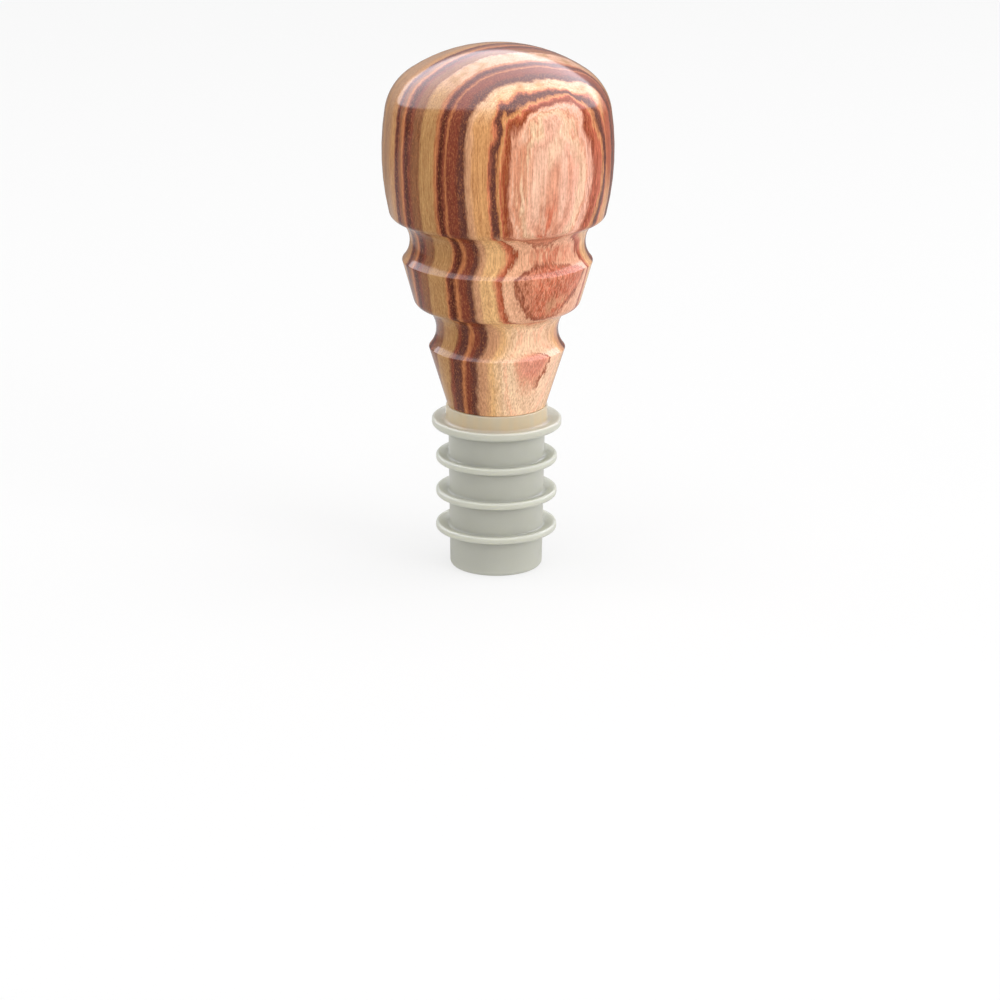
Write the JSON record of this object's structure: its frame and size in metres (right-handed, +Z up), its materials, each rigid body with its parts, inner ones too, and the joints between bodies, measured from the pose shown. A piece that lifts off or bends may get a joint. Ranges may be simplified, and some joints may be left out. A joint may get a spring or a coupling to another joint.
{
  "type": "bottle stopper",
  "caption": "Turned striped-hardwood bottle stopper with a domed head and coved stem, on a soft silicone plug with a dished flange and sealing fins.",
  "frame": {"origin": "middle of the plug's flat end, which the stopper stands on", "axes": "+Z up the turning axis, from the plug's end to the crown of the wooden top; the part is round"},
  "size_m": [0.038, 0.038, 0.0883],
  "materials": {
    "striped_wood": "gloss lacquer",
    "silicone": "milky, satin",
    "dowel_wood": "bare"
  },
  "bodies": {
    "root": {"turned_top": "striped_wood", "silicone_plug": "silicone", "dowel_pin": "dowel_wood"}
  },
  "joints": []
}
